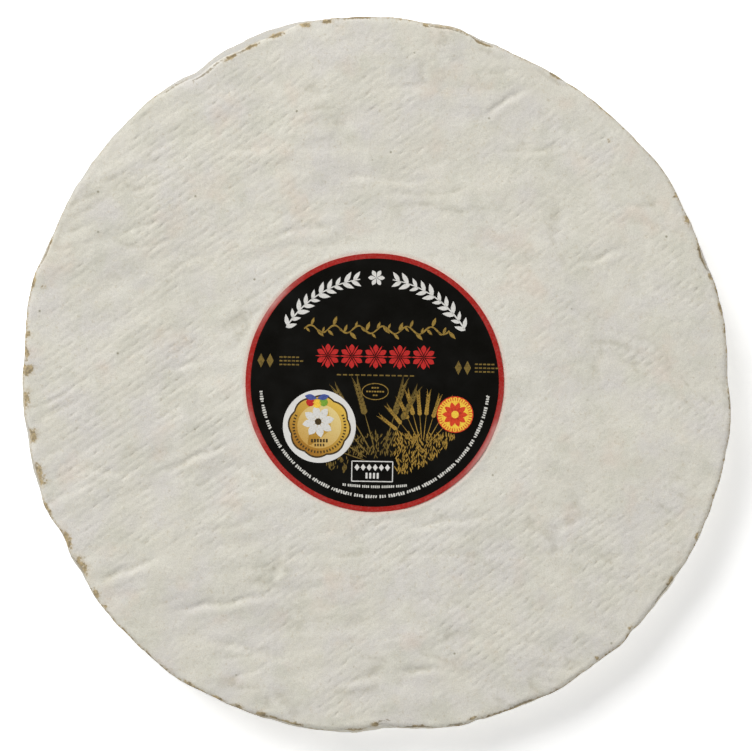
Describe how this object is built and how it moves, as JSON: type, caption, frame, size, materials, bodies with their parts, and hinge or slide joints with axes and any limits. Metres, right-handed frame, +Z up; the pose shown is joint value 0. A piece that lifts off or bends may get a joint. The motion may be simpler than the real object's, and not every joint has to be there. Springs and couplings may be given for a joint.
{
  "type": "brie wheel",
  "caption": "Flat round wheel of soft cheese with a white mould rind, mat ridges across its top, a slightly uneven edge, a round black paper label with a red rim, and a round sticker.",
  "frame": {"origin": "middle of the wheel's bounding box, on the surface that the wheel rests on", "axes": "+Z up through the wheel's thickness, +Y towards the top of the label, +X to the label's right"},
  "size_m": [0.3624, 0.3666, 0.0292],
  "materials": {
    "rind": "matte velvety white mould rind",
    "label_paper": "printed black, slightly glossy",
    "sticker_paper": "white, slightly glossy"
  },
  "bodies": {
    "root": {"brie_wheel": "rind", "paper_label": "label_paper", "round_sticker": "sticker_paper"}
  },
  "joints": []
}
